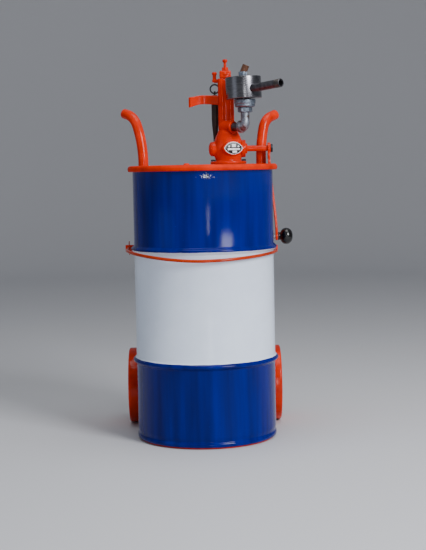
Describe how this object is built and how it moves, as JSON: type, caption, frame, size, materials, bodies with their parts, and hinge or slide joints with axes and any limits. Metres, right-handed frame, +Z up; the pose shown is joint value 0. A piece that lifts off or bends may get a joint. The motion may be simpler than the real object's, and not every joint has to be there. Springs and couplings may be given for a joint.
{
  "type": "fluid transfer pump on a drum truck",
  "caption": "Hand-cranked rack pump on the cover of a steel drum, with outlet fittings, carried by a two-wheel hand truck.",
  "frame": {"origin": "on the drum's axis, on the underside of the toe plate, at the floor", "axes": "+Z up the drum, +X to the operator's right towards the crank, +Y away from the operator towards the wheels"},
  "size_m": [0.4499, 0.4976, 0.9725],
  "materials": {
    "bare_grey_iron": "machined and satin",
    "black_phenolic": "moulded phenolic",
    "black_rubber": "worn",
    "blue_enamel": "gloss enamel, with a white band",
    "bright_steel": "machined",
    "cork_gasket": "pressed cork",
    "dark_steel": "dark oiled steel",
    "etched_plate": "etched and black filled",
    "galvanised_iron": "galvanised",
    "oiled_leather": "oiled",
    "orange_enamel": "gloss enamel",
    "rusty_iron": "rusty",
    "zinc_steel": "zinc plated"
  },
  "bodies": {
    "root": {"axle": "dark_steel", "base_gasket": "cork_gasket", "canister": "bare_grey_iron", "column_cap": "orange_enamel", "cover_gasket": "cork_gasket", "drum_bottom_head": "blue_enamel", "drum_cover": "orange_enamel", "drum_shell": "blue_enamel", "elbow": "galvanised_iron", "flange_bolt_1": "dark_steel", "flange_bolt_2": "dark_steel", "flange_bolt_3": "dark_steel", "flange_bolt_4": "dark_steel", "foot_valve_body": "zinc_steel", "gland_nut": "orange_enamel", "hex_bushing": "galvanised_iron", "hoop": "orange_enamel", "hoop_nut": "dark_steel", "hose_hook": "orange_enamel", "left_axle_bracket": "orange_enamel", "left_bearing_cover": "orange_enamel", "left_upright": "orange_enamel", "lower_band": "orange_enamel", "name_plate": "etched_plate", "outlet_nipple": "dark_steel", "outlet_pipe": "dark_steel", "pump_body": "orange_enamel", "pump_cylinder": "bright_steel", "reducer": "galvanised_iron", "right_axle_bracket": "orange_enamel", "right_upright": "orange_enamel", "ring_lug": "orange_enamel", "shaft_packing": "oiled_leather", "suction_strainer": "zinc_steel", "toe_plate": "orange_enamel", "top_collar": "galvanised_iron", "top_nipple": "rusty_iron", "upper_band": "orange_enamel"},
    "crank": {"crank_shaft": "orange_enamel", "pinion": "bright_steel", "pinion_key": "dark_steel", "crank_arm": "orange_enamel", "crank_nut": "dark_steel", "knob_spindle": "bright_steel"},
    "knob": {"crank_knob": "black_phenolic"},
    "rack_slide": {"rack": "bright_steel", "piston_rod": "bright_steel", "piston": "bright_steel", "cup_leather": "oiled_leather"},
    "left_wheel": {"left_tyre": "orange_enamel", "left_wheel_disc": "orange_enamel"},
    "right_wheel": {"right_tyre": "orange_enamel", "right_wheel_disc": "orange_enamel"},
    "hoop_wing_nut": {"wing_nut": "orange_enamel"},
    "stop_adjuster": {"stop_screw": "orange_enamel"},
    "stop_locknut_body": {"stop_locknut": "orange_enamel"},
    "foot_ball": {"foot_valve_ball": "bright_steel"},
    "ring": {"hanging_ring": "dark_steel"},
    "grip": {"hanging_grip": "black_rubber"}
  },
  "joints": [
    {"name": "crank_turn", "type": "hinge", "parent": "root", "child": "crank", "pos_m": [0.12, 0.108, 0.738], "axis": [1, 0, 0], "range_deg": [0, 100]},
    {"name": "knob_spin", "type": "hinge", "parent": "crank", "child": "knob", "pos_m": [0.2155, 0.108, 0.506], "axis": [1, 0, 0], "continuous": true},
    {"name": "rack_lift", "type": "slide", "parent": "root", "child": "rack_slide", "axis": [0, 0, 1], "range_m": [0, 0.0316]},
    {"name": "left_wheel_spin", "type": "hinge", "parent": "root", "child": "left_wheel", "pos_m": [-0.1945, 0.2, 0.1016], "axis": [1, 0, 0], "continuous": true},
    {"name": "right_wheel_spin", "type": "hinge", "parent": "root", "child": "right_wheel", "pos_m": [0.1875, 0.2, 0.1016], "axis": [1, 0, 0], "continuous": true},
    {"name": "wing_nut_turn", "type": "hinge", "parent": "root", "child": "hoop_wing_nut", "pos_m": [-0.196, 0.084, 0.483], "axis": [0, 1, 0], "continuous": true},
    {"name": "stop_screw_turn", "type": "hinge", "parent": "root", "child": "stop_adjuster", "pos_m": [0.0646, 0.1295, 0.95], "axis": [0, 0, 1], "continuous": true},
    {"name": "locknut_turn", "type": "hinge", "parent": "root", "child": "stop_locknut_body", "pos_m": [0.0646, 0.1295, 0.947], "axis": [0, 0, 1], "continuous": true},
    {"name": "foot_ball_lift", "type": "slide", "parent": "root", "child": "foot_ball", "axis": [0, 0, 1], "range_m": [0, 0.004]},
    {"name": "ring_swing", "type": "hinge", "parent": "root", "child": "ring", "pos_m": [0.0365, 0.1455, 0.9081], "axis": [1, 0, 0], "range_deg": [0, 60]},
    {"name": "grip_swing", "type": "hinge", "parent": "ring", "child": "grip", "pos_m": [0.0365, 0.1455, 0.8851], "axis": [1, 0, 0], "range_deg": [0, 40]}
  ],
  "couplings": [
    {"joint": "rack_lift", "follows": "crank_turn", "m_per_rad": 0.018}
  ]
}
